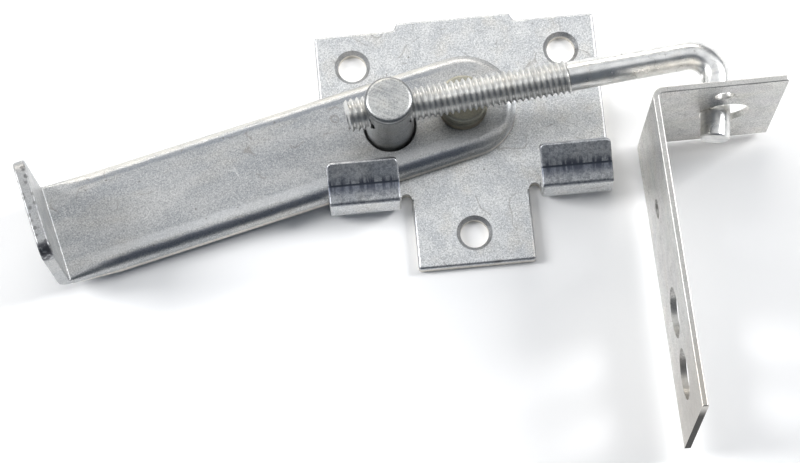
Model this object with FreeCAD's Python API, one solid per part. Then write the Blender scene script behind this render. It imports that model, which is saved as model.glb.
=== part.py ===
import FreeCAD, Part
import math
import os

# Over-centre gate latch, millimetres.
# The origin is on the handle's pivot axis, in the back face of the base plate.
# +Z points out of the plate, +X runs along the plate towards the strike, and the ears are at -Y.

V = FreeCAD.Vector
Z_AXIS = V(0, 0, 1)

# Base plate
plate_width = 68.8
plate_thickness = 2.8
plate_top_edge = 22.9          # from the pivot to the long top edge
plate_edge_roll = 0.7          # rounding left on the face by the blanking die
corner_break = 0.8
land_width = 27.8              # raised run in the middle of the top edge
land_rise = 1.9
tongue_width = 28.4
tongue_end = 38.1              # from the pivot to the free end of the tongue
relief_width = 2.8             # slot between the tongue and each ear

# Screw holes of the base plate
screw_hole = 6.9
screw_sink = 8.7
sink_half_angle = 41.0
top_screw_spacing = 51.3
top_screw_height = 14.3
tongue_screw_drop = 30.2

# Ears that hold the handle down
ear_face = 22.95               # from the pivot to the outer face of an ear
ear_bend = 1.0                 # inside radius of the fold
ear_side_step = 0.3            # an ear is this much narrower than the plate, at its outer side
ear_corner_height = 11.5
ear_corner_round = 1.1
ear_shelf = 4.7
ear_shelf_rise = 1.0
ear_flare = 5.2
ear_flare_rise = 2.2
ear_edge_break = 0.5
ear_tip_corner = 1.2

# Handle
handle_width = 25.3
handle_gauge = 2.8
handle_height = 4.8            # over the turned-down edges
handle_roll = 3.1              # outside radius of the turned-down edges
stop_gap = 0.18                # between the bar's edge and the ear that stops it
handle_offset = 0.93           # the bar's middle line passes this far above the pivot
handle_nose = 13.4             # from the pivot to the rounded end
handle_reach = 102.5           # from the pivot to the inner face of the finger tab
tab_top = 35.0                 # above the back of the plate
tab_width = 24.6
tab_lean = 1.5                 # degrees outwards
tab_bend = 0.4
tab_corner = 3.7
tab_edge_break = 0.45
edge_fade = 12.0               # the turned-down edges run out over this length before the tab
fade_corner = 0.7              # rounding that is left where the fade meets the tab

# Pivot
pivot_diameter = 8.0
spacer_diameter = 15.0
washer_diameter = 11.8
washer_gauge = 1.6
rivet_head_diameter = 11.7
rivet_head_height = 5.4
rivet_groove = 0.35            # depth and width of the groove round the head
rivet_shoulder = 2.3           # height of the groove above the washer
rivet_tail_diameter = 11.0
rivet_tail_depth = 1.4
axial_play = 0.05
pivot_clearance = 0.05
web_gap = 2.6                  # between the plate and the underside of the handle's web

# Trunnion post
post_offset = 18.2             # from the pivot, along the handle
post_diameter = 11.6
post_top = 29.6
post_top_round = 1.25
post_foot_diameter = 15.0
post_foot_height = 1.6
post_foot_gap = 0.4
post_clearance = 0.08
post_hole_mouth = 0.62         # the punched hole opens by this much at the top face
post_mouth_depth = 1.5

# Hook bolt, 5/16-18 thread
thread_diameter = 7.94
thread_pitch = 1.411
thread_depth = 0.72
thread_root_flat = 0.18
thread_crest_flat = 0.16
thread_turns = 38
thread_cut_turns = 6           # whole turns cut in one go
shank_diameter = 7.05
rod_height = 22.3              # rod axis above the back of the plate
rod_angle = 5.1
rod_tail = 10.4                # thread end to the post axis
rod_corner = 78.9              # post axis to where the rod and hook axes cross
hook_turn = 102.8
hook_radius = 6.0
hook_length = 22.0             # from that crossing to the end of the hook
rod_clearance = 0.06
rod_end_break = 0.7

# Strike bracket
strike_gauge = 1.5
strike_width = 38.1
strike_leg = 76.2
strike_flange = 31.75
strike_bend = 1.0              # inside radius
strike_closing = 1.1           # degrees that the bend is past square
strike_hook_hole = 12.0
strike_hook_hole_at = 19.05
strike_nail_hole = 4.8
strike_flange_nail = (17.7, 12.3)
strike_leg_nail = (22.9, -2.1)
strike_leg_holes = (48.7, 63.4)
strike_leg_hole = 12.0
strike_end_skew = 2.6          # degrees that the leg's end is sheared out of square
strike_edge_break = 0.3
# How the loose strike lies on the hook: its outer bend corner, and its turn, tilt and lean in degrees
strike_from_hook = V(-18.95, -14.0, -0.4)    # from where the rod and hook axes cross
strike_turn = 0.7
strike_tilt = -1.2
strike_lean = 1.3

# Values that follow
rod_thread_end = thread_turns * thread_pitch - rod_tail      # from the post's axis
web_bottom = plate_thickness + web_gap
handle_top = web_bottom + handle_gauge
handle_bottom = handle_top - handle_height
half_handle = handle_width / 2
washer_bottom = handle_top + axial_play
rivet_head_bottom = washer_bottom + washer_gauge
ear_side = plate_width / 2 - ear_side_step
ear_inner = ear_face - plate_thickness
edge_reach = half_handle - handle_offset + stop_gap
stop_turn = math.acos(edge_reach / math.hypot(ear_side, ear_inner)) - math.atan2(ear_side, ear_inner)
handle_direction = 180 + math.degrees(stop_turn)             # closed, with its edge in the left ear


def polar(radius, degrees, z=0.0):
    angle = math.radians(degrees)
    return V(radius * math.cos(angle), radius * math.sin(angle), z)


post_axis = polar(post_offset, handle_direction) + polar(handle_offset, handle_direction - 90)
strike_corner = post_axis + polar(rod_corner, rod_angle, rod_height) + strike_from_hook


def cylinder(radius, height, base=V(0, 0, 0), axis=Z_AXIS):
    return Part.makeCylinder(radius, height, base, axis)


def polygon_face(points):
    return Part.Face(Part.makePolygon(list(points) + [points[0]]))


def box(x0, x1, y0, y1, z0, z1):
    return Part.makeBox(x1 - x0, y1 - y0, z1 - z0, V(x0, y0, z0))


def edges_where(shape, test):
    """Edges whose every sampled point passes the test."""
    found = []
    for edge in shape.Edges:
        if all(test(p) for p in edge.discretize(5)):
            found.append(edge)
    return found


def corner_arc(before, corner, after, radius):
    """Start, middle and end of the arc that rounds a corner."""
    back = (before - corner).normalize()
    on = (after - corner).normalize()
    half = back.getAngle(on) / 2
    run = radius / math.tan(half)
    middle = (back + on).normalize() * (radius / math.sin(half) - radius)
    return corner + back * run, corner + middle, corner + on * run


def rounded_wire(points, radii):
    """Closed wire through the points, each corner rounded by its own radius."""
    count = len(points)
    arcs = []
    for i, radius in enumerate(radii):
        if radius:
            arcs.append(corner_arc(points[i - 1], points[i], points[(i + 1) % count], radius))
        else:
            arcs.append((points[i], None, points[i]))
    edges = []
    for i, (start, middle, end) in enumerate(arcs):
        if middle is not None:
            edges.append(Part.Arc(start, middle, end).toShape())
        following = arcs[(i + 1) % count][0]
        if end.distanceToPoint(following) > 1e-6:
            edges.append(Part.makeLine(end, following))
    return Part.Wire(edges)


def bent_strip(path, bends, thickness, across):
    """Face of a bent sheet seen on edge: path is its outer side, bends its (outer, inner) radii."""
    sides = [(path[i + 1] - path[i]).normalize() for i in range(len(path) - 1)]
    inward = [across.cross(side) for side in sides]
    inner = [path[0] + inward[0] * thickness]
    for i in range(1, len(path) - 1):
        half = sides[i - 1].getAngle(sides[i]) / 2
        mitre = (inward[i - 1] + inward[i]).normalize()
        inner.append(path[i] + mitre * (thickness / math.cos(half)))
    inner.append(path[-1] + inward[-1] * thickness)
    points = list(path) + inner[::-1]
    outer_radii = [0] + [b[0] for b in bends] + [0]
    inner_radii = [0] + [b[1] for b in bends][::-1] + [0]
    return Part.Face(rounded_wire(points, outer_radii + inner_radii))


# ---------------------------------------------------------------- base plate

def plate_blank():
    """Flat plate with its land, tongue and relief slots, ending where the ears fold up."""
    half = plate_width / 2
    fold = -(ear_face - ear_bend - plate_thickness)
    land = land_width / 2
    tongue = tongue_width / 2
    slot = tongue + relief_width
    right = [
        (land, plate_top_edge + land_rise, corner_break), (land + 0.9, plate_top_edge, 0.8),
        (half, plate_top_edge, corner_break), (half, fold, 0), (slot, fold, 0),
        (slot, fold - relief_width / 2, 0), (tongue, fold - relief_width / 2, 0),
        (tongue, -tongue_end, corner_break),
    ]
    corners = right + [(-x, y, r) for x, y, r in reversed(right)]
    wire = rounded_wire([V(x, y, 0) for x, y, r in corners], [r for x, y, r in corners])
    blank = Part.Face(wire).extrude(V(0, 0, plate_thickness))

    def rolled(p):
        beside_ear = abs(p.x) > tongue - 1e-3 and p.y < fold + 1e-3 and p.y > fold - relief_width
        return abs(p.z - plate_thickness) < 1e-4 and not beside_ear

    return blank.makeFillet(plate_edge_roll, edges_where(blank, rolled))


def ear(side):
    """One ear: folded up from the plate, over the handle's edge, and flared to guide it in."""
    face = -ear_face
    fold = -(ear_face - ear_bend - plate_thickness)
    outer = [
        V(0, fold + 1.5, 0), V(0, face, 0), V(0, face, ear_corner_height),
        V(0, face + ear_shelf, ear_corner_height + ear_shelf_rise),
        V(0, face + ear_shelf + ear_flare, ear_corner_height + ear_shelf_rise + ear_flare_rise),
    ]
    bends = [
        (ear_bend + plate_thickness, ear_bend), (ear_corner_round, ear_bend / 2),
        (4.0, 4.0 + plate_thickness),
    ]
    profile = bent_strip(outer, bends, plate_thickness, V(-1, 0, 0))
    inner_side = tongue_width / 2 + relief_width
    solid = profile.extrude(V(ear_side - inner_side, 0, 0))
    solid.translate(V(inner_side, 0, 0))
    tip = face + ear_shelf + ear_flare - 1.5
    middle = (inner_side + ear_side) / 2

    def at_side(p):
        return abs(abs(p.x - middle) - (ear_side - middle)) < 1e-3

    corners = edges_where(solid, lambda p: p.y > tip and at_side(p))
    corners = [e for e in corners if abs(e.Length - plate_thickness) < 0.01]
    solid = solid.makeFillet(ear_tip_corner, corners)

    def on_rim(edge):
        p = edge.CenterOfMass
        folded_side = at_side(p) and p.z > plate_thickness + 0.6
        return (folded_side or p.y > tip) and abs(edge.Length - plate_thickness) > 0.01

    solid = solid.makeFillet(ear_edge_break, [e for e in solid.Edges if on_rim(e)])
    if side < 0:
        solid = solid.mirror(V(0, 0, 0), V(1, 0, 0))
    return solid


def countersunk_hole(x, y):
    sink_depth = (screw_sink - screw_hole) / 2 / math.tan(math.radians(sink_half_angle))
    drill = cylinder(screw_hole / 2, plate_thickness + 2, V(x, y, -1))
    sink = Part.makeCone(screw_hole / 2, screw_sink / 2, sink_depth, V(x, y, plate_thickness - sink_depth))
    return drill.fuse(sink)


def relief_slot(side):
    """Round-topped slot that lets the ear fold beside the tongue."""
    middle = side * (tongue_width + relief_width) / 2
    fold = -(ear_face - ear_bend - plate_thickness)
    radius = relief_width / 2
    top = fold - radius + 0.1
    slot = cylinder(radius, plate_thickness + 2, V(middle, top, -1))
    return slot.fuse(box(middle - radius, middle + radius, -ear_face - 1, top, -1, plate_thickness + 1))


def base_plate():
    body = plate_blank()
    for side in (-1, 1):
        body = body.fuse(ear(side))
    cuts = [relief_slot(-1), relief_slot(1), countersunk_hole(0, -tongue_screw_drop)]
    for side in (-1, 1):
        cuts.append(countersunk_hole(side * top_screw_spacing / 2, top_screw_height))
    cuts.append(rivet_body())
    return body.cut(cuts).removeSplitter()


# ---------------------------------------------------------------- pivot

def rivet_body():
    """Shank and the tail that is set flush into the back of the plate."""
    tail = Part.makeCone(rivet_tail_diameter / 2, pivot_diameter / 2, rivet_tail_depth)
    return tail.fuse(cylinder(pivot_diameter / 2, rivet_head_bottom + rivet_head_height))


def pivot_rivet():
    """Rivet with a tall head that has a groove round it."""
    head = cylinder(rivet_head_diameter / 2, rivet_head_height, V(0, 0, rivet_head_bottom))
    top = rivet_head_bottom + rivet_head_height
    rim = edges_where(head, lambda p: abs(p.z - top) < 1e-4)
    head = head.makeFillet(rivet_head_height * 0.12, rim)
    groove = ring(rivet_head_diameter + 2, rivet_head_diameter - 2 * rivet_groove, rivet_groove,
                  rivet_head_bottom + rivet_shoulder, 0.05)
    return rivet_body().fuse(head.cut(groove)).removeSplitter()


def ring(outer, inner, height, z, round_edge):
    """Flat washer with its upper outer edge rounded."""
    disc = cylinder(outer / 2, height, V(0, 0, z))
    disc = disc.makeFillet(round_edge, edges_where(disc, lambda p: abs(p.z - z - height) < 1e-4))
    return disc.cut(cylinder(inner / 2, height + 2, V(0, 0, z - 1)))


def pivot_washer():
    return ring(washer_diameter, pivot_diameter, washer_gauge, washer_bottom, 0.35)


def pivot_spacer():
    return ring(spacer_diameter, pivot_diameter, web_gap - axial_play, plate_thickness, 0.3)


# ---------------------------------------------------------------- handle

def handle_outline(inset, end):
    """Plan of the bar in its own frame: middle line on the X axis, tab towards +X."""
    half = half_handle - inset
    centre = -(handle_nose - half_handle)
    arc = Part.Arc(V(centre, half, 0), V(centre - half, 0, 0), V(centre, -half, 0)).toShape()
    edges = [arc, Part.makeLine(V(centre, -half, 0), V(end, -half, 0)),
             Part.makeLine(V(end, -half, 0), V(end, half, 0)),
             Part.makeLine(V(end, half, 0), V(centre, half, 0))]
    return Part.Face(Part.Wire(edges))


def handle_section(x, half, roll, bottom):
    """Section of the bar across its length: a web with two turned-down edges."""
    foot = half - handle_gauge
    points = [
        V(x, -half, bottom), V(x, -half, handle_top), V(x, half, handle_top), V(x, half, bottom),
        V(x, foot, bottom), V(x, foot, web_bottom), V(x, -foot, web_bottom), V(x, -foot, bottom),
    ]
    return rounded_wire(points, [0, roll, roll, 0, 0, 0, 0, 0])


def handle_bar():
    """Flat bar whose long edges and round end are turned down, until they run out before the tab."""
    fade_start = handle_reach - tab_bend - edge_fade
    bar = handle_outline(0, fade_start).extrude(V(0, 0, handle_height))
    bar.translate(V(0, 0, handle_bottom))
    rolled = edges_where(bar, lambda p: abs(p.z - handle_top) < 1e-4 and not abs(p.x - fade_start) < 1e-3)
    bar = bar.makeFillet(handle_roll, rolled)
    hollow = handle_outline(handle_gauge, fade_start + 1).extrude(V(0, 0, web_bottom - handle_bottom + 1))
    hollow.translate(V(0, 0, handle_bottom - 1))
    full = handle_section(fade_start, half_handle, handle_roll, handle_bottom)
    flat = handle_section(fade_start + edge_fade, tab_width / 2, fade_corner, web_bottom - 0.02)
    return bar.cut(hollow).fuse(Part.makeLoft([full, flat], True, True))


def finger_tab():
    """The end of the bar, bent upwards and leaning out a little."""
    lean = math.radians(tab_lean)
    up = V(math.sin(lean), 0, math.cos(lean))
    out = V(math.cos(lean), 0, -math.sin(lean))
    start = handle_reach - tab_bend
    foot = V(handle_reach, 0, handle_top) + out * handle_gauge
    foot = foot - up * ((foot.z - web_bottom) / up.z)
    path = [V(start, 0, web_bottom), foot, foot + up * ((tab_top - web_bottom) / up.z)]
    profile = bent_strip(path, [(tab_bend + handle_gauge, tab_bend)], handle_gauge, V(0, -1, 0))
    half = tab_width / 2
    tab = profile.extrude(V(0, tab_width, 0))
    tab.translate(V(0, -half, 0))
    corners = edges_where(tab, lambda p: p.z > tab_top - 0.5 and abs(abs(p.y) - half) < 1e-3)
    tab = tab.makeFillet(tab_corner, corners)

    def on_rim(p):
        depth = (p - foot).dot(out)
        upright = p.z > handle_top + tab_bend + 0.05
        return upright and (abs(depth) < 1e-3 or abs(depth + handle_gauge) < 1e-3)

    return tab.makeFillet(tab_edge_break, edges_where(tab, on_rim))


def handle():
    body = handle_bar().fuse(finger_tab())
    body.translate(V(0, -handle_offset, 0))
    body = body.cut(cylinder(pivot_diameter / 2 + pivot_clearance, 20))
    post = V(post_offset, -handle_offset, 0)
    hole = post_diameter / 2 + post_clearance
    mouth_foot = post + V(0, 0, handle_top - post_mouth_depth)
    body = body.cut(cylinder(hole, 20, post))
    body = body.cut(Part.makeCone(hole, hole + post_hole_mouth, post_mouth_depth, mouth_foot))
    body = body.removeSplitter()
    body.rotate(V(0, 0, 0), Z_AXIS, handle_direction)
    return body


# ---------------------------------------------------------------- trunnion post and hook bolt

def trunnion_post():
    foot = cylinder(post_foot_diameter / 2, post_foot_height, V(0, 0, plate_thickness + post_foot_gap))
    stem = cylinder(post_diameter / 2, post_top - plate_thickness - post_foot_gap,
                    V(0, 0, plate_thickness + post_foot_gap))
    stem = stem.makeFillet(post_top_round, edges_where(stem, lambda p: abs(p.z - post_top) < 1e-4))
    body = foot.fuse(stem)
    along = polar(1, rod_angle)
    bore = cylinder(thread_diameter / 2 + rod_clearance, post_diameter * 2,
                    V(0, 0, rod_height) - along * post_diameter, along)
    body = body.cut(bore).removeSplitter()
    body.translate(post_axis)
    return body


def threaded_bar():
    """Rolled thread, cut a few whole turns at a time as one running groove; axis +Z from the tail."""
    radius = thread_diameter / 2
    root = radius - thread_depth
    past = 0.05
    half_root = thread_root_flat / 2
    half_mouth = (thread_pitch - thread_crest_flat) / 2
    half_past = half_mouth + (half_mouth - half_root) / thread_depth * past
    groove = Part.makePolygon([
        V(root, 0, -half_root), V(radius + past, 0, -half_past), V(radius + past, 0, half_past),
        V(root, 0, half_root), V(root, 0, -half_root),
    ])
    pieces = []
    for first in range(0, thread_turns, thread_cut_turns):
        tall = min(thread_cut_turns, thread_turns - first) * thread_pitch
        helix = Part.makeHelix(thread_pitch, tall + 2 * thread_pitch, root)
        cutter = Part.Wire(helix).makePipeShell([groove], True, True)
        cutter.translate(V(0, 0, -thread_pitch / 2))
        piece = cylinder(radius, tall)
        if first == 0:
            piece = piece.makeChamfer(rod_end_break, edges_where(piece, lambda p: p.z < 1e-4))
        piece.rotate(V(0, 0, 0), Z_AXIS, 37)
        piece = piece.cut(cutter)
        piece.translate(V(0, 0, first * thread_pitch))
        pieces.append(piece)
    return pieces[0].fuse(pieces[1:])


def hook_bolt():
    """Threaded rod whose plain end is bent round into a hook."""
    radius = shank_diameter / 2
    tangent = hook_radius * math.tan(math.radians(hook_turn / 2))
    corner = V(rod_corner, 0, 0)
    on = polar(1, -hook_turn)
    bend_start = corner - V(tangent, 0, 0)
    bend_end = corner + on * tangent
    centre = bend_start - V(0, hook_radius, 0)
    middle = centre + polar(hook_radius, 90 - hook_turn / 2)
    shank_start = V(rod_thread_end, 0, 0)
    path = Part.Wire([
        Part.makeLine(shank_start, bend_start), Part.Arc(bend_start, middle, bend_end).toShape(),
        Part.makeLine(bend_end, corner + on * hook_length),
    ])
    section = Part.Wire(Part.makeCircle(radius, shank_start, V(1, 0, 0)))
    hook = path.makePipeShell([section], True, True)
    tip = corner + on * hook_length
    rim = [e for e in hook.Edges if (e.CenterOfMass - tip).Length < 0.5]
    hook = hook.makeChamfer(0.35, rim)
    thread = threaded_bar()
    thread.rotate(V(0, 0, 0), V(0, 1, 0), 90)
    thread.translate(V(-rod_tail, 0, 0))
    body = thread.fuse(hook)
    body.rotate(V(0, 0, 0), Z_AXIS, rod_angle)
    body.translate(post_axis + V(0, 0, rod_height))
    return body


# ---------------------------------------------------------------- strike bracket

def strike_place(shape):
    """From the strike's own frame, bend corner at the origin, to where it lies on the hook."""
    shape.rotate(V(0, 0, 0), V(1, 0, 0), strike_tilt)
    shape.rotate(V(0, 0, 0), V(0, 1, 0), strike_lean)
    shape.rotate(V(0, 0, 0), Z_AXIS, strike_turn)
    shape.translate(strike_corner)
    return shape


def strike_bracket():
    leg_way = polar(1, -90 + strike_closing)
    path = [V(strike_flange, 0, 0), V(0, 0, 0), leg_way * (strike_leg + 1)]
    bends = [(strike_bend + strike_gauge, strike_bend)]
    profile = bent_strip(path, bends, strike_gauge, Z_AXIS)
    body = profile.extrude(V(0, 0, strike_width))
    body.translate(V(0, 0, -strike_width / 2))
    end = leg_way * strike_leg
    skew = math.tan(math.radians(strike_end_skew)) * strike_width / 2
    shear = polygon_face([
        end - leg_way * skew + V(-4, 0, strike_width / 2), end + leg_way * skew + V(-4, 0, -strike_width / 2),
        end + leg_way * (skew + 1) + V(-4, 0, -strike_width / 2 - 1),
        end + leg_way * (skew + 1) + V(-4, 0, strike_width / 2 + 1),
        end - leg_way * skew + V(-4, 0, strike_width / 2 + 1),
    ]).extrude(V(8, 0, 0))
    body = body.cut(shear)
    long_edges = edges_where(body, lambda p: abs(abs(p.z) - strike_width / 2) < 1e-4)
    body = body.makeFillet(strike_edge_break, long_edges)
    x, z = strike_flange_nail
    flange_way = V(0, 1, 0)
    holes = [
        cylinder(strike_hook_hole / 2, 8, V(strike_hook_hole_at, -4, 0), flange_way),
        cylinder(strike_nail_hole / 2, 8, V(x, -4, z), flange_way),
    ]
    leg_normal = polar(1, strike_closing)
    for down in strike_leg_holes:
        holes.append(cylinder(strike_leg_hole / 2, 8, leg_way * down - leg_normal * 4, leg_normal))
    down, z = strike_leg_nail
    holes.append(cylinder(strike_nail_hole / 2, 8, leg_way * down - leg_normal * 4 + V(0, 0, z), leg_normal))
    return strike_place(body.cut(holes))


PARTS = {
    "base_plate": base_plate,
    "pivot_rivet": pivot_rivet,
    "pivot_washer": pivot_washer,
    "pivot_spacer": pivot_spacer,
    "handle": handle,
    "trunnion_post": trunnion_post,
    "hook_bolt": hook_bolt,
    "strike_bracket": strike_bracket,
}

os.makedirs("parts", exist_ok=True)
for name, make in PARTS.items():
    make().Solids[0].exportStep(os.path.join("parts", name + ".step"))
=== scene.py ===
import math
import bpy
from mathutils import Euler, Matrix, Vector


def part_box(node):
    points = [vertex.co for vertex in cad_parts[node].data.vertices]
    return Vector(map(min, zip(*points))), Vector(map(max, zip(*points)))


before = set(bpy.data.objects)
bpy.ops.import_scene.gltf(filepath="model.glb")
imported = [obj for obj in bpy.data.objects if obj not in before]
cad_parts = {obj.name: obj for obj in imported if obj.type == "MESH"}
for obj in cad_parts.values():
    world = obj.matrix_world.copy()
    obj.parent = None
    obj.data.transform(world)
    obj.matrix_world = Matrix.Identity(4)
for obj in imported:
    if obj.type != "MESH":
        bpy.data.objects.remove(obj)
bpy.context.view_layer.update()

scene = bpy.context.scene
scene.view_settings.view_transform = "Standard"
MM = 0.001

# ------------------------------------------------ sizes the finishes follow, in metres or degrees
PLATE_FACE = 2.8 * MM            # height of the plate's face
PLATE_SIDE = PLATE_FACE - 0.6 * MM     # top of the painted pale floor reflection on the plate's cut edges
EAR_START = PLATE_FACE + 6 * MM  # the plate has nothing but its ears above this
EAR_CREASE = -18.25 * MM         # line across the ears where they start to flare
HANDLE_TURN = 13.1               # of the bar below the plate's long edge
HANDLE_FAR = 13.6 * MM           # the bar's edges, across it from the pivot
HANDLE_NEAR = -11.7 * MM
HANDLE_SIDE = 5.4 * MM           # top of the painted pale floor reflection on the bar's cut edges
BAND_START = (4 * MM, -6 * MM)   # along the bar, where its painted reflection bands fade in after the round end
BAND_END = (-99 * MM, -90 * MM)  # and where they fade out before the tab
TAB_TOP = 35.0 * MM
TAB_CORNER = (-7.2 * MM, -8.6 * MM)    # across the bar, where the tab's dark corner fades in
ROD_TURN = 5.1                   # of the rod above the plate's long edge
THREAD_CREST = 3.97 * MM         # radius
THREAD_ROOT = 3.25 * MM
THREAD_END = 43.2 * MM           # from the post's axis
SCRATCH_TURN = 62                # across the scratches on the post's top
RIVET_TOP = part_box("pivot_rivet")[1][2]
POST_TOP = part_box("trunnion_post")[1][2]
STRIKE_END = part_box("strike_bracket")[0][1]


def middle(node):
    low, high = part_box(node)
    return (Vector(low) + Vector(high)) / 2


# ------------------------------------------------ camera, light and floor
CAMERA_PLACE = (-0.02763, -0.19554, 0.63398)
CAMERA_TURN = (14.864, 0.525, -5.314)
LENS_MM = 122.0
SENSOR_MM = 36.0
FLOOR_HALF = 3.0
FLOOR_COLOUR = (0.95, 0.95, 0.95)
FLOOR_ROUGHNESS = 0.95
WORLD_COLOUR = (0.55, 0.66, 0.82)
WORLD_STRENGTH = 0.16


def make_camera():
    data = bpy.data.cameras.new("camera")
    data.lens = LENS_MM
    data.sensor_width = SENSOR_MM
    camera = bpy.data.objects.new("camera", data)
    camera.location = CAMERA_PLACE
    camera.rotation_euler = Euler([math.radians(angle) for angle in CAMERA_TURN], "XYZ")
    scene.collection.objects.link(camera)
    scene.camera = camera


def area_light(name, place, size, size_y, power, colour=(1, 1, 1)):
    """A softbox aimed at the object."""
    data = bpy.data.lights.new(name, "AREA")
    data.shape = "RECTANGLE"
    data.size = size
    data.size_y = size_y
    data.energy = power
    data.color = colour
    light = bpy.data.objects.new(name, data)
    light.location = place
    light.rotation_euler = (-Vector(place)).to_track_quat("-Z", "Y").to_euler()
    scene.collection.objects.link(light)


def make_lights():
    area_light("overhead", place=(0.04, 0.30, 0.86), size=1.0, size_y=0.85, power=2.3)
    area_light("back", place=(-0.15, 1.0, 0.45), size=1.2, size_y=0.3, power=7, colour=(1.0, 0.96, 0.9))
    area_light("left", place=(-0.95, 0.15, 0.75), size=0.35, size_y=0.6, power=11)
    area_light("right", place=(0.95, 0.25, 0.75), size=0.35, size_y=0.6, power=12)


def make_floor():
    mesh = bpy.data.meshes.new("floor")
    corners = [(x * FLOOR_HALF, y * FLOOR_HALF, 0) for x, y in ((-1, -1), (1, -1), (1, 1), (-1, 1))]
    mesh.from_pydata(corners, [], [(0, 1, 2, 3)])
    floor = bpy.data.objects.new("floor", mesh)
    scene.collection.objects.link(floor)
    material = bpy.data.materials.new("floor_paper")
    material.use_nodes = True
    shader = material.node_tree.nodes["Principled BSDF"]
    shader.inputs["Base Color"].default_value = (*FLOOR_COLOUR, 1)
    shader.inputs["Roughness"].default_value = FLOOR_ROUGHNESS
    mesh.materials.append(material)


def make_world():
    world = bpy.data.worlds.new("studio")
    scene.world = world
    world.use_nodes = True
    background = world.node_tree.nodes["Background"]
    background.inputs["Color"].default_value = (*WORLD_COLOUR, 1)
    background.inputs["Strength"].default_value = WORLD_STRENGTH


# ------------------------------------------------ building blocks for finishes
PALE_HAIRLINE = (0.9, 0.9, 0.88)
DARK_HAIRLINE = (0.22, 0.20, 0.18)
SPECK = (0.18, 0.17, 0.16)
FINE_GRAIN_MM = 0.36
CRYSTAL_MM = 0.3
BUMP_STRENGTH = 0.8


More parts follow.
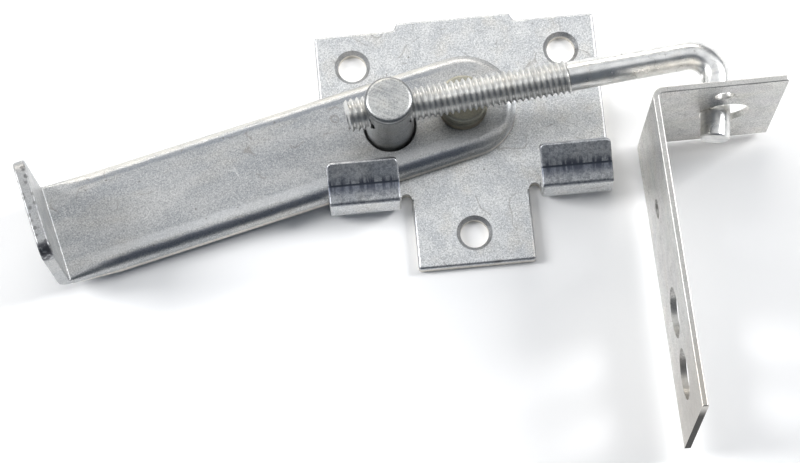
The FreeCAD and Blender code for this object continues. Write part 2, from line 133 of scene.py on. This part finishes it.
class Finish:
    """A metal finish laid out in the part's own coordinates, in metres.

    A share is a pattern over the surface: 1 where something applies, 0 where it doesn't.
    """

    def __init__(self, name, roughness):
        self.material = bpy.data.materials.new(name)
        self.material.use_nodes = True
        self.tree = self.material.node_tree
        self.shader = self.tree.nodes["Principled BSDF"]
        self.shader.inputs["Metallic"].default_value = 1.0
        self.place = self.add("ShaderNodeTexCoord", out="Object")
        self.facing = self.add("ShaderNodeTexCoord", out="Normal")
        self.y = self.axis(self.place, "Y")
        self.z = self.axis(self.place, "Z")
        self.upward = self.axis(self.facing, "Z")
        self.roughness = roughness
        self.colour = None
        self.relief = 0.0

    # nodes

    def add(self, kind, inputs=None, out=0, **settings):
        node = self.tree.nodes.new(kind)
        for key, value in settings.items():
            setattr(node, key, value)
        for key, value in (inputs or {}).items():
            if isinstance(value, bpy.types.NodeSocket):
                self.tree.links.new(value, node.inputs[key])
            else:
                node.inputs[key].default_value = value
        return node.outputs[out]

    def compute(self, operation, a, b=0.0):
        return self.add("ShaderNodeMath", {0: a, 1: b}, operation=operation)

    def vector(self, operation, a, b):
        return self.add("ShaderNodeVectorMath", {0: a, 1: b}, operation=operation)

    def axis(self, vector, name):
        return self.add("ShaderNodeSeparateXYZ", {0: vector}, out=name)

    def both(self, a, b):
        return self.compute("MULTIPLY", a, b)

    def apart(self, value, centre):
        """How far a value is from the centre."""
        return self.compute("ABSOLUTE", self.compute("SUBTRACT", value, centre))

    def ramp(self, value, low, high):
        """0 below low, 1 above high, smooth between them. With low over high it falls instead."""
        inputs = {"Value": value, "From Min": low, "From Max": high}
        return self.add("ShaderNodeMapRange", inputs, interpolation_type="SMOOTHSTEP")

    def mix(self, share, a, b, blend="MIX"):
        inputs = {0: share, 6: self.rgba(a), 7: self.rgba(b)}
        return self.add("ShaderNodeMix", inputs, out=2, data_type="RGBA", blend_type=blend)

    def rgba(self, colour):
        return colour if isinstance(colour, bpy.types.NodeSocket) else (*colour, 1)

    # patterns

    def turned(self, degrees, origin=(0, 0, 0), stretch=(1, 1, 1)):
        """Coordinates from an origin, whose X runs along a direction in the plate's plane."""
        moved = self.vector("SUBTRACT", self.place, origin)
        turn = {0: moved, "Angle": -math.radians(degrees)}
        spun = self.add("ShaderNodeVectorRotate", turn, rotation_type="Z_AXIS")
        return self.vector("MULTIPLY", spun, stretch)

    def noise(self, size_mm, detail, place=None, seed=0.0, out=0):
        """Cloudy pattern with features about that large. The seed slides it to another stretch."""
        shifted = self.vector("ADD", place or self.place, (seed, seed * 0.7, seed * 0.4))
        inputs = {"Vector": shifted, "Scale": 1 / (size_mm * MM), "Detail": detail}
        return self.add("ShaderNodeTexNoise", inputs, out=out)

    def hairlines(self, spacing_mm, width, share, seed):
        """Thin curved scratches: contour lines of a soft noise, kept where a second noise is high.

        A larger share keeps more of them.
        """
        contour = self.apart(self.noise(spacing_mm, 1.0, seed=seed), 0.5)
        patches = self.noise(spacing_mm * 0.8, 1.0, seed=seed + 3.1)
        return self.both(self.ramp(contour, width, 0.0), self.ramp(patches, 0.62 - share, 0.66 - share))

    def specks(self, spacing_mm, size, share, seed):
        """Small round marks, one in a share of the cells."""
        moved = self.vector("ADD", self.place, (seed, seed, seed))
        cells = {"Vector": moved, "Scale": 1 / (spacing_mm * MM)}
        spot = self.ramp(self.add("ShaderNodeTexVoronoi", cells, out="Distance"), size, size * 0.5)
        pick = self.axis(self.add("ShaderNodeTexVoronoi", cells, out="Color"), "X")
        return self.both(spot, self.ramp(pick, 1 - share, 1.02 - share))

    # what a pattern changes

    def paint(self, share, colour, amount=1.0, blend="MIX"):
        """Lays a colour over what is there, as strongly as the amount says where share is 1."""
        self.colour = self.mix(self.compute("MULTIPLY", share, amount), self.colour, colour, blend)

    def rub(self, share, roughness):
        """Moves the roughness towards a value where share is 1."""
        self.roughness = self.add("ShaderNodeMix", {0: share, 2: self.roughness, 3: roughness})

    def raise_by(self, share, height_mm):
        self.relief = self.compute("ADD", self.relief, self.compute("MULTIPLY", share, height_mm * MM))

    # layers that every finish has

    def base(self, dark, light, tint, cloud_mm, grain=1.0, place=None):
        """Crystalline zinc: soft clouds, faint warm patches and a fine grain."""
        self.colour = self.mix(self.ramp(self.noise(cloud_mm, 4.0, place), 0.25, 0.75), dark, light)
        warm = self.ramp(self.noise(cloud_mm * 1.6, 4.0, place, seed=1.7), 0.48, 0.72)
        self.paint(warm, tint, 0.45)
        fine = self.ramp(self.noise(FINE_GRAIN_MM, 2.0, seed=0.9), 0.42, 0.64)
        self.paint(fine, tuple(0.5 * part for part in dark), 0.5 * grain)
        crystals = self.ramp(self.noise(CRYSTAL_MM, 1.0, seed=6.3), 0.52, 0.66)
        self.paint(crystals, tuple(min(1.0, 1.3 * part) for part in light), 0.55 * grain)
        self.rub(self.noise(cloud_mm * 0.7, 4.0, place, seed=5.2), self.roughness + 0.16)
        self.raise_by(self.compute("ADD", fine, crystals), 0.006 * grain)

    def wear(self, spacing_mm, bright_share=0.08, dark_share=0.08):
        """Bright and dark hairlines and tiny dark specks."""
        bright = self.hairlines(spacing_mm, width=0.006, share=bright_share, seed=7.7)
        dark = self.hairlines(spacing_mm * 0.7, width=0.015, share=dark_share, seed=2.9)
        dots = self.specks(spacing_mm=2.6, size=0.12, share=0.2, seed=0.3)
        self.paint(bright, PALE_HAIRLINE, 0.3)
        self.paint(dark, DARK_HAIRLINE, 0.45)
        self.paint(dots, SPECK, 0.7)
        self.raise_by(self.compute("ADD", bright, dark), -0.01)
        self.raise_by(dots, -0.015)

    def cover(self, *node_names):
        """Joins colour, roughness and relief to the shader and puts the finish on the pieces."""
        links = self.tree.links
        links.new(self.colour, self.shader.inputs["Base Color"])
        links.new(self.roughness, self.shader.inputs["Roughness"])
        bump = {"Height": self.relief, "Strength": BUMP_STRENGTH, "Distance": 1.0}
        links.new(self.add("ShaderNodeBump", bump), self.shader.inputs["Normal"])
        for name in node_names:
            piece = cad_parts[name]
            if not piece.material_slots:
                piece.data.materials.append(self.material)
            for slot in piece.material_slots:
                slot.material = self.material


def cut_edge_floor_reflection(f, top):
    """Painted reflection of the pale floor on the cut edges below the rolled corner, streaked upright
    like shear marks.
    """
    side = f.ramp(f.compute("ABSOLUTE", f.upward), 0.35, 0.12)
    reflection_strip = f.both(side, f.ramp(f.z, top, top - 0.2 * MM))
    streaks = f.noise(0.8, 3.0, f.turned(0, stretch=(1, 1, 0.15)), seed=4.4)
    # pale painted floor reflection on the cut edges, with upright shear streaks in it
    f.paint(reflection_strip, f.mix(streaks, (0.62, 0.58, 0.52), (0.92, 0.88, 0.80)), 0.8)
    f.rub(reflection_strip, 0.5)


# ------------------------------------------------ base plate

def ears_painted_shade(f):
    """Painted shade on the ears: a faint darkening, a dark blue painted reflection beside the crease
    and a dark line in it; dark press-drawn scratches near the crease, partly painted shade, and a dark
    mottle.
    """
    on_ear = f.both(f.ramp(f.z, EAR_START, EAR_START + 2 * MM), f.ramp(f.upward, 0.3, 0.6))
    # faint painted shade over the ears
    f.paint(on_ear, (0.30, 0.32, 0.36), 0.2)
    # dark blue painted reflection on the band beside the crease
    shelf_painted_reflection = f.both(on_ear, f.ramp(f.y, EAR_CREASE - 3.6 * MM, EAR_CREASE - 0.4 * MM))
    shelf_painted_reflection = f.both(shelf_painted_reflection, f.ramp(f.y, EAR_CREASE + 0.4 * MM, EAR_CREASE))
    f.paint(shelf_painted_reflection, (0.13, 0.15, 0.20), 0.75)
    from_crease = f.apart(f.y, EAR_CREASE)
    drawn = f.ramp(f.noise(0.8, 3.0, f.turned(0, stretch=(1, 0.1, 0.1)), seed=6.1), 0.44, 0.62)
    near = f.ramp(from_crease, 2.6 * MM, 0.2 * MM)
    # press-drawn scratches, painted darker near the crease as painted shade
    f.paint(f.both(on_ear, f.both(near, drawn)), (0.10, 0.11, 0.14))
    # painted shade: a dark line in the crease
    f.paint(f.both(on_ear, f.ramp(from_crease, 0.35 * MM, 0.1 * MM)), (0.07, 0.08, 0.10))
    mottle = f.ramp(f.noise(0.9, 3.0, seed=8.2), 0.46, 0.62)
    f.paint(f.both(on_ear, mottle), (0.10, 0.11, 0.14), 0.38)
    f.raise_by(f.both(on_ear, drawn), -0.012)


def plate_zinc():
    f = Finish("plate_zinc_finish", roughness=0.34)
    f.base(dark=(0.56, 0.575, 0.59), light=(0.74, 0.745, 0.74), tint=(0.72, 0.69, 0.63), cloud_mm=4.0)
    f.wear(13.0, bright_share=0.06, dark_share=0.07)
    # painted shade on faces that tilt away from up: the rolled corners and the countersinks
    rolled_painted_shade = f.both(f.ramp(f.upward, 0.97, 0.85), f.ramp(f.upward, 0.2, 0.4))
    f.paint(rolled_painted_shade, (0.14, 0.15, 0.19), 0.4)
    ears_painted_shade(f)
    cut_edge_floor_reflection(f, PLATE_SIDE)
    f.cover("base_plate")


# ------------------------------------------------ rivet, washer and spacer

def rivet_zinc():
    """Yellowish, duller on top and browner towards the washer."""
    f = Finish("rivet_zinc_finish", roughness=0.30)
    f.base(dark=(0.32, 0.30, 0.23), light=(0.46, 0.44, 0.34), tint=(0.52, 0.50, 0.41), cloud_mm=2.0)
    f.wear(4.0)
    top = f.ramp(f.z, RIVET_TOP - 0.9 * MM, RIVET_TOP - 0.4 * MM)
    f.paint(top, (0.36, 0.355, 0.31), 0.6)
    f.rub(top, 0.48)
    lower = f.ramp(f.z, RIVET_TOP - 3.2 * MM, RIVET_TOP - 5.4 * MM)
    f.paint(lower, (0.30, 0.24, 0.16), 0.6)
    f.cover("pivot_rivet", "pivot_washer", "pivot_spacer")


# ------------------------------------------------ handle

def painted_reflection_bands(f):
    """Painted reflections along the bar where its edges turn down: a pale highlight and a dark line on
    the far side, a pale band and a dark blue band on the near side.
    """
    flat = f.turned(HANDLE_TURN)
    x = f.axis(flat, "X")
    along = f.both(f.ramp(x, *BAND_START), f.ramp(x, *BAND_END))
    wobble = f.compute("MULTIPLY", f.compute("SUBTRACT", f.noise(6.0, 3.0, seed=2.6), 0.5), 1.2 * MM)
    across = f.compute("ADD", f.axis(flat, "Y"), wobble)
    # middle line, half width, amount, colour
    # painted highlights and painted dark reflections across the bar
    painted_reflections = [
        (HANDLE_FAR - 0.9 * MM, 0.9 * MM, 0.6, (0.74, 0.72, 0.67)),
        (HANDLE_FAR - 2.7 * MM, 0.9 * MM, 0.6, (0.22, 0.24, 0.27)),
        (HANDLE_NEAR + 4.2 * MM, 1.6 * MM, 0.4, (0.66, 0.67, 0.68)),
        (HANDLE_NEAR + 1.7 * MM, 1.1 * MM, 0.6, (0.12, 0.14, 0.19)),
    ]
    for centre, reach, amount, colour in painted_reflections:
        inside = f.ramp(f.apart(across, centre), reach, reach * 0.3)
        f.paint(f.both(inside, along), colour, amount)


def pitted_tab(f):
    """The tab's free edge is pitted, with a dark patch at its near corner."""
    rim = f.both(f.ramp(f.z, TAB_TOP - 1.4 * MM, TAB_TOP - 0.7 * MM), f.ramp(f.upward, 0.35, 0.6))
    pits = f.both(rim, f.specks(spacing_mm=1.3, size=0.5, share=0.8, seed=2.0))
    f.paint(rim, (0.30, 0.30, 0.30), 0.4)
    f.paint(pits, (0.16, 0.16, 0.16), 0.8)
    near = f.ramp(f.axis(f.turned(HANDLE_TURN), "Y"), *TAB_CORNER)
    corner = f.both(f.ramp(f.z, TAB_TOP - 5 * MM, TAB_TOP - 3 * MM), near)
    f.paint(f.both(corner, f.ramp(f.noise(1.2, 3.0, seed=3.3), 0.36, 0.5)), (0.12, 0.12, 0.13))
    f.raise_by(pits, -0.03)


def handle_zinc():
    f = Finish("handle_zinc_finish", roughness=0.36)
    along = f.turned(HANDLE_TURN, stretch=(0.35, 1, 1))
    f.base(
        dark=(0.36, 0.375, 0.39), light=(0.53, 0.53, 0.525), tint=(0.56, 0.53, 0.47),
        cloud_mm=5.0, grain=0.9, place=along)
    painted_reflection_bands(f)
    f.wear(12.0, bright_share=0.0, dark_share=0.0)
    pitted_tab(f)
    cut_edge_floor_reflection(f, HANDLE_SIDE)
    f.cover("handle")


# ------------------------------------------------ post

def post_steel():
    """Turned side, scratched top and a dark rim between them."""
    f = Finish("post_steel_finish", roughness=0.30)
    f.base(dark=(0.34, 0.35, 0.35), light=(0.50, 0.505, 0.50), tint=(0.50, 0.48, 0.42), cloud_mm=2.4)
    f.wear(5.0)
    rings = f.ramp(f.noise(0.5, 2.0, f.turned(0, stretch=(0.08, 0.08, 1)), seed=1.3), 0.45, 0.7)
    f.paint(rings, (0.28, 0.29, 0.31), 0.35)
    face = f.ramp(f.upward, 0.85, 0.97)
    stretched = f.turned(SCRATCH_TURN, middle("trunnion_post"), (1, 0.06, 1))
    scratched = f.ramp(f.noise(0.6, 3.0, stretched, seed=9.0), 0.4, 0.66)
    f.paint(f.both(face, scratched), (0.62, 0.62, 0.60), 0.45)
    rim = f.both(f.ramp(f.z, POST_TOP - 1.9 * MM, POST_TOP - 1.2 * MM), f.ramp(f.upward, 0.93, 0.7))
    f.paint(rim, (0.14, 0.145, 0.15), 0.7)
    f.rub(face, 0.5)
    f.cover("trunnion_post")


# ------------------------------------------------ hook bolt

def bolt_zinc():
    """Bright shank streaked lengthways, duller thread with painted shade on its flanks."""
    f = Finish("bolt_zinc_finish", roughness=0.22)
    centre = middle("trunnion_post")
    centre.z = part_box("hook_bolt")[1][2] - THREAD_CREST
    f.base(
        dark=(0.66, 0.66, 0.65), light=(0.86, 0.86, 0.84), tint=(0.80, 0.77, 0.70),
        cloud_mm=2.2, grain=0.25)
    stretched = f.turned(ROD_TURN, centre, (0.08, 1, 1))
    streaks = f.ramp(f.noise(1.1, 3.0, stretched, seed=2.2), 0.5, 0.72)
    f.paint(streaks, (0.36, 0.37, 0.39), 0.35)
    along = f.axis(f.turned(ROD_TURN, centre), "X")
    threaded = f.ramp(along, THREAD_END + 0.2 * MM, THREAD_END - 0.2 * MM)
    spoke = f.turned(ROD_TURN, centre, (0, 1, 1))
    from_axis = f.add("ShaderNodeVectorMath", {0: spoke}, out="Value", operation="LENGTH")
    flank_painted_shade = f.both(threaded, f.ramp(from_axis, THREAD_CREST - 0.05 * MM, THREAD_ROOT + 0.15 * MM))
    f.paint(threaded, (0.45, 0.45, 0.44), 0.2)
    # painted shade in the thread's grooves, on the flanks
    f.paint(flank_painted_shade, (0.22, 0.22, 0.22), 0.15)
    f.rub(threaded, 0.38)
    f.wear(5.0)
    f.cover("hook_bolt")


# ------------------------------------------------ strike bracket

def strike_zinc():
    """Warm grey with a faint bloom, darker on faces that point up, a marked low end and a dark sheared
    end face.
    """
    f = Finish("strike_zinc_finish", roughness=0.30)
    f.base(dark=(0.56, 0.555, 0.54), light=(0.76, 0.75, 0.725), tint=(0.74, 0.70, 0.63), cloud_mm=4.0)
    bloom = f.mix(0.5, f.noise(9.0, 2.0, seed=6.6, out="Color"), (0.8, 0.8, 0.8))
    f.paint(0.10, bloom, blend="OVERLAY")
    f.wear(9.0)
    # darker on faces that point up
    f.paint(f.ramp(f.upward, 0.6, 0.9), (0.36, 0.355, 0.34), 0.6)
    low = f.ramp(f.y, STRIKE_END + 30 * MM, STRIKE_END + 6 * MM)
    f.paint(low, (0.42, 0.39, 0.345), 0.65)
    marks = f.specks(spacing_mm=1.5, size=0.16, share=0.35, seed=4.0)
    f.paint(f.both(low, marks), (0.36, 0.35, 0.34), 0.7)
    towards_end = f.ramp(f.axis(f.facing, "Y"), -0.8, -0.95)
    end = f.both(f.ramp(f.y, STRIKE_END + 2.5 * MM, STRIKE_END + 1.9 * MM), towards_end)
    f.paint(end, (0.025, 0.023, 0.022), 0.96)
    f.rub(end, 0.6)
    f.cover("strike_bracket")


make_camera()
make_world()
make_floor()
make_lights()
plate_zinc()
rivet_zinc()
handle_zinc()
post_steel()
bolt_zinc()
strike_zinc()
